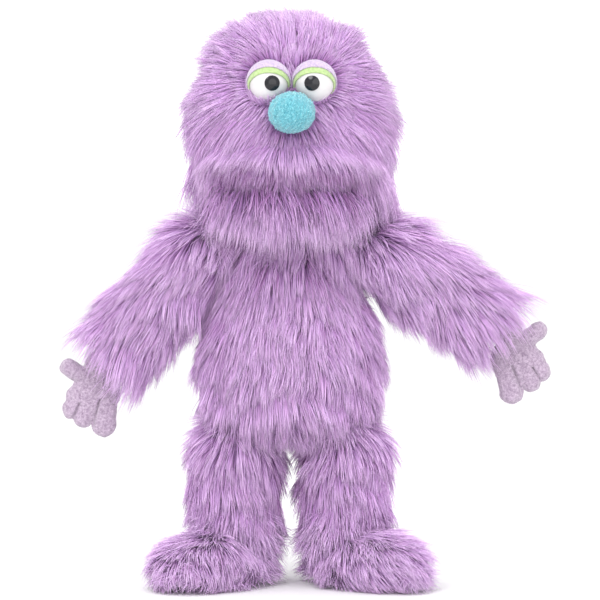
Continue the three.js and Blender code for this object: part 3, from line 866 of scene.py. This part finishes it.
def head_whiskers(p, low, crown):
    """The outline's share of length: ragged, fuller on the crown's right and the left cheek, short at the corners."""
    across = p[:, 0] - MID_X
    ragged = 0.28 * np.clip(WHISKERS(p)[:, 0], -0.6, 1.0) * (1 - over_mouth(p))
    tuft = 0.30 * crown * smoothstep(-across, 0.02, 0.06)
    height = p[:, 2] - HEAD_MIDDLE[2]
    corner = smoothstep(np.abs(across), 0.055, 0.085) * smoothstep(height, 0.01, 0.05)
    cheek = smoothstep(0.03 - height, 0.0, 0.05)
    lopsided = smoothstep(across, 0.04, 0.09) - 0.6 * smoothstep(-across, 0.04, 0.09) * low
    return 1 + ragged + tuft - 0.38 * corner * (1 - 0.6 * crown) + 0.22 * cheek * lopsided


def head_length(p):
    near = smoothstep(face_clearance(p), 0.0, 0.032)
    behind = smoothstep(p[:, 1], HEAD_MIDDLE[1], HEAD_MIDDLE[1] + 0.07)
    low = smoothstep(HEAD_MIDDLE[2] - p[:, 2], 0.0, 0.09)
    crown = smoothstep(p[:, 2], HEAD_MIDDLE[2] + 0.03, HEAD_MIDDLE[2] + 0.10)
    full = (0.021 + 0.032 * near) * (1 + 0.55 * low * (1 - behind) - 0.15 * crown)
    fringe = np.clip(p[:, 2] - FRINGE_END + 0.008, 0.026, 0.066)
    fringe = fringe * (1.04 + 0.15 * np.sin((p[:, 0] - MID_X) * 95.0 + 1.9))
    return (full + (np.minimum(full, fringe) - full) * over_mouth(p)) * head_whiskers(p, low, crown)


def head_lift(p):
    clear = face_clearance(p)
    near = smoothstep(clear, 0.0, 0.03)
    rim = 1 - smoothstep(clear, 0.0, 0.012)
    behind = smoothstep(p[:, 1], HEAD_MIDDLE[1], HEAD_MIDDLE[1] + 0.07)
    crown = smoothstep(p[:, 2], HEAD_MIDDLE[2] + 0.06, HEAD_MIDDLE[2] + 0.12)
    lip = over_mouth(p) * smoothstep(HEAD_MIDDLE[2] - p[:, 2], 0.0, 0.05)
    tucked = 0.75 * lips(p)
    return (0.26 + 0.14 * near + 0.7 * rim - 0.14 * crown + 0.16 * lip) * (1 - 0.75 * behind) * (1 - tucked)


def head_droop(p):
    crown = smoothstep(p[:, 2], HEAD_MIDDLE[2] + 0.05, HEAD_MIDDLE[2] + 0.11)
    side = smoothstep(np.abs(p[:, 0] - MID_X), 0.05, 0.09) * smoothstep(HEAD_MIDDLE[2] - p[:, 2], 0.0, 0.05)
    low = smoothstep(HEAD_MIDDLE[2] + 0.07 - p[:, 2], 0.0, 0.14)
    return 0.12 + 0.42 * low + 0.20 * crown + 0.28 * side


# Painted shade: fur darkened in a ring round the top of each eye and just under the nose, and on the short fur tucked
# under the fringe over the mouth.
def head_painted_shade(p):
    eye_z = eyes["left"][0][2]
    shaded = smoothstep(p[:, 2], eye_z, eye_z + 0.01) + smoothstep(NOSE[2] - p[:, 2], 0.0, 0.01)
    rim = (1 - smoothstep(face_clearance(p), 0.002, 0.012)) * np.clip(shaded, 0, 1)
    return np.maximum(lips(p), 0.85 * rim)


def head_panel(front=None, right=None, high=None):
    """Which part of the head a piece of fur covers: front or back, right, left or middle, high or low."""
    grow = outward(HEAD_MIDDLE)

    def wanted(p, n):
        d = unit(p - HEAD_MIDDLE)
        keep = grow(p, n) & (face_clearance(p) > 0)
        if front is not None:
            keep &= (d[:, 1] < 0.15) == front
        if right == "right":
            keep &= d[:, 0] < -0.42
        elif right == "left":
            keep &= d[:, 0] > 0.42
        elif right == "middle":
            keep &= np.abs(d[:, 0]) <= 0.42
        if high is not None:
            keep &= (d[:, 2] > 0.35) == high
        return keep
    return wanted


HEAD_DENSITY = 380e3
HEAD_PANELS = (
    ("crown_front_middle", dict(front=True, right="middle", high=True)),
    ("crown_front_right", dict(front=True, right="right", high=True)),
    ("crown_front_left", dict(front=True, right="left", high=True)),
    ("muzzle_middle", dict(front=True, right="middle", high=False)),
    ("cheek_right", dict(front=True, right="right", high=False)),
    ("cheek_left", dict(front=True, right="left", high=False)),
    ("back_high", dict(front=False, high=True)),
    ("back_low_right", dict(front=False, right="right", high=False)),
    ("back_low_left", dict(front=False, right="left", high=False)),
    ("back_low_middle", dict(front=False, right="middle", high=False)),
)
for number, (panel, where) in enumerate(HEAD_PANELS):
    piece = fur(f"head_fur_{panel}", hides["head_fur_cover"], "head", fur_lilac, HEAD_DENSITY, head_comb,
                head_length, head_lift, head_droop, 100 + number, head_panel(**where), painted_shade=head_painted_shade,
                width=1.05 * MM, wild=0.10, locks=0.55, strength=0.55)
    if number == 0:
        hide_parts("head_fur_cover")

for number, (side, (place, radius)) in enumerate(eyes.items()):
    def eye_bed(p, n, place=place, radius=radius):
        gap = np.hypot(p[:, 0] - place[0], p[:, 2] - place[2]) - radius
        return (p[:, 1] < HEAD_MIDDLE[1]) & (gap > -1.0 * MM) & (gap < 7 * MM) & (p[:, 2] < place[2] - 8 * MM)

    fur(f"{side}_eye_bed_fur", hides["head_fur_cover"], "head", fur_lilac, 1.5e6,
        lambda p, place=place: unit(place - p) * np.array([1.0, 0.0, 1.0]), same(0.027), same(0.9), same(0.0),
        130 + number, eye_bed, width=0.85 * MM, wild=0.3, strength=0.3)

JAW_MIDDLE = np.array([MID_X, HINGE[1], HINGE[2]])


def jaw_comb(p):
    return unit(p - JAW_MIDDLE) * np.array([1.0, 0.8, 0.5]) - UP * 0.9


def jaw_outside(p, n):
    """The chin's front and underside, away from the mouth."""
    throat = np.array([MID_X, HINGE[1] - 0.03, HINGE[2] + 0.03])
    below_lip = (n[:, 2] < 0.35) & ((n[:, 1] < 0.2) | (n[:, 2] < -0.3))
    return below_lip & ((n * unit(p - throat)).sum(1) > 0.1)


# Painted shade: the top of the chin's front, under the fur over the mouth, drawn darker.
def jaw_painted_shade(p):
    lip = smoothstep(p[:, 2], HINGE[2] - 0.020, HINGE[2] - 0.006)
    return 0.8 * lip * (p[:, 1] < HEAD_MIDDLE[1] - 0.05)


fur("jaw_fur", hides["jaw_fur_cover"], "jaw", fur_lilac, 330e3, jaw_comb, same(0.076), same(0.42), same(0.82),
    140, jaw_outside, painted_shade=jaw_painted_shade, wild=0.14, width=1.1 * MM)

# ------------------------------------------------------------------ fur: neck and torso

TORSO_LOW, TORSO_HIGH = node_box("torso_fur_cover")
TORSO_MIDDLE = (TORSO_LOW + TORSO_HIGH) / 2


def around(middle):
    """The outside of an upright tube."""
    def wanted(p, n):
        out = (p - middle) * np.array([1.0, 1.0, 0.0])
        return (n * unit(out)).sum(1) > 0.15
    return wanted


# The neck's fur is drawn darker all round: painted shade under the head.
fur("neck_fur", hides["neck_fur_cover"], "neck", fur_lilac, 300e3, lambda p: np.broadcast_to(-UP, p.shape),
    lambda p: 0.045 + 0.045 * smoothstep(np.abs(p[:, 0] - NECK[0]), 0.02, 0.05), same(0.80), same(0.30), 150,
    around(NECK), painted_shade=same(0.4))


def torso_comb(p):
    out = unit((p - TORSO_MIDDLE) * np.array([1.0, 1.0, 0.0]))
    high = smoothstep(p[:, 2], TORSO_HIGH[2] - 0.10, TORSO_HIGH[2] - 0.04)
    return -UP + (0.25 + 0.9 * high)[:, None] * out


def band(z, rise, fall):
    """One between two heights, fading to nothing over (from, to) at each."""
    return smoothstep(z, *rise) * (1 - smoothstep(z, *fall))


def torso_length(p):
    """Longest above the hand opening in the back, which it hangs down to hide."""
    behind = smoothstep(p[:, 1], TORSO_MIDDLE[1], TORSO_MIDDLE[1] + 0.03)
    slit_width = np.abs(p[:, 0] - MID_X) < 0.055
    return 0.054 + 0.066 * behind * slit_width * band(p[:, 2], (0.325, 0.333), (0.350, 0.370))


# Painted shade: the torso's fur drawn darker at the armpits, under the beard and at the crotch.
def torso_painted_shade(p):
    across = np.abs(p[:, 0] - MID_X)
    armpit = smoothstep(across, 0.060, 0.085) * band(p[:, 2], (0.28, 0.34), (0.39, 0.42))
    under_beard = smoothstep(p[:, 2], 0.385, 0.405) * (1 - smoothstep(across, 0.05, 0.08))
    crotch = smoothstep(TORSO_LOW[2] + 0.03 - p[:, 2], 0.0, 0.03)
    return 0.6 * armpit + 0.5 * under_beard + 0.6 * crotch


def torso_panel(front, high):
    tube = around(TORSO_MIDDLE)

    def wanted(p, n):
        foot = (n[:, 2] < -0.6) & (p[:, 2] < TORSO_LOW[2] + 0.004)
        grow = tube(p, n) | foot
        return grow & ((p[:, 1] < TORSO_MIDDLE[1]) == front) & ((p[:, 2] > TORSO_LOW[2] + 0.085) == high)
    return wanted


for number, (front, high) in enumerate(((True, True), (True, False), (False, True), (False, False))):
    name = f"torso_fur_{'front' if front else 'back'}_{'high' if high else 'low'}"
    fur(name, hides["torso_fur_cover"], "torso", fur_lilac, 270e3, torso_comb, torso_length, same(0.42),
        same(0.6), 160 + number, torso_panel(front, high), painted_shade=torso_painted_shade)

# ------------------------------------------------------------------ fur: arms, legs and feet


ARM_HALF = 0.085  # metres along the arm where its upper piece of fur ends
FLOOR_CLEARANCE = 0.7 * MM


def make_arm_fur(side, sign, seed):
    """Along the arm and longest round the cuff, in an upper and a lower piece."""
    start = np.array(JOINT[f"{side}_arm_lift"]["pos_m"])
    along = unit(np.array(JOINT[f"{side}_wrist"]["pos_m"]) - start)

    def down_arm(p):
        return (p - start) @ along

    def shoulder_top(p):
        return np.clip(-(unit(p - start) @ along), 0, 1)

    def outside(p, n):
        out = (p - start) - along * np.maximum(down_arm(p), 0)[:, None]
        return (n * unit(out)).sum(1) > 0.15

    def length(p):
        ragged = 1 + 0.18 * np.clip(WHISKERS(p)[:, 1], -1.0, 1.0)
        upper_edge = smoothstep(p[:, 2] - start[2] + 0.5 * down_arm(p), 0.0, 0.03)
        cuff = smoothstep(down_arm(p), 0.12, 0.170)
        return (0.056 + 0.024 * cuff + 0.012 * upper_edge - 0.020 * shoulder_top(p)) * ragged

    def lift(p):
        return 0.44 + 0.22 * smoothstep(down_arm(p), 0.0, 0.04)

    # Painted shade under the arm on its inner side, and painted light on the top of the shoulder, where the strands
    # part.
    def painted_shade(p):
        under = smoothstep(start[2] - p[:, 2], 0.01, 0.04)
        inside = smoothstep((start[0] - p[:, 0]) * sign, -0.01, 0.02)
        return 0.35 * under * inside - 0.45 * shoulder_top(p) ** 2

    def comb(p):
        inner = np.clip(-sign * unit(p - start)[:, 0], 0, 1)
        return along - 0.35 * UP + 0.7 * inner[:, None] * UP

    for number, (half, upper) in enumerate((("upper", True), ("lower", False))):
        def wanted(p, n):
            return outside(p, n) & ((down_arm(p) < ARM_HALF) == upper)

        fur(f"{side}_arm_fur_{half}", hides[f"{side}_arm_fur_cover"], f"{side}_arm", fur_lilac, 270e3, comb,
            length, lift, same(0.38), seed + number, wanted, painted_shade=painted_shade)


def make_leg_fur(side, sign, seed):
    hip = np.array(JOINT[f"{side}_hip"]["pos_m"])
    hem = node_box(f"{side}_leg_fur_cover")[0][2]

    def outside(p, n):
        out = (p - hip) * np.array([1.0, 1.0, 0.0]) + UP * np.maximum(p[:, 2] - hip[2], 0)[:, None]
        return (n * unit(out)).sum(1) > 0.15

    def length(p):
        return 0.030 + 0.018 * smoothstep(p[:, 2] - hem, 0.0, 0.03)

    # Painted shade on the inner side of the leg.
    def painted_shade(p):
        return 0.6 * smoothstep((hip[0] - p[:, 0]) * sign, 0.02, 0.045)

    fur(f"{side}_leg_fur", hides[f"{side}_leg_fur_cover"], f"{side}_leg", fur_lilac, 190e3,
        lambda p: np.broadcast_to(-UP, p.shape), length, same(0.34), same(0.6), seed, outside, painted_shade=painted_shade)


def make_foot_fur(side, seed):
    """Away from the ankle on every side. Strands that would pass under the floor lie on it."""
    ankle = np.array(JOINT[f"{side}_ankle"]["pos_m"])
    middle = centre(f"{side}_foot_fur_cover")

    def comb(p):
        out = unit((p - ankle) * np.array([1.0, 1.0, 0.0]))
        return out + np.cross(UP, out) * 0.25 - 0.2 * UP

    def length(p):
        return 0.036 + 0.014 * smoothstep(p[:, 2], 0.03, 0.07)

    def outside(p, n):
        return ((n * unit(p - middle)).sum(1) > 0.1) & (n[:, 2] > -0.75)

    # The foot's fur is drawn paler all over: painted light.
    obj = fur(f"{side}_foot_fur", hides[f"{side}_foot_fur_cover"], f"{side}_foot", fur_lilac, 230e3, comb,
              length, same(0.52), same(0.42), seed, outside, painted_shade=same(-0.34), wild=0.18, locks=0.8, strength=0.35)
    points, _, _ = mesh_arrays(obj)
    low = points[:, 2] < FLOOR_CLEARANCE
    points[low, 2] = FLOOR_CLEARANCE + (FLOOR_CLEARANCE - points[low, 2]) * 0.03
    move_points(obj, points)


for number, (side, sign) in enumerate(SIDES.items()):
    seed = 200 + 20 * number
    make_arm_fur(side, sign, seed)
    make_leg_fur(side, sign, seed + 3)
    make_foot_fur(side, seed + 4)

for side in SIDES:
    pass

low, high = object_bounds()
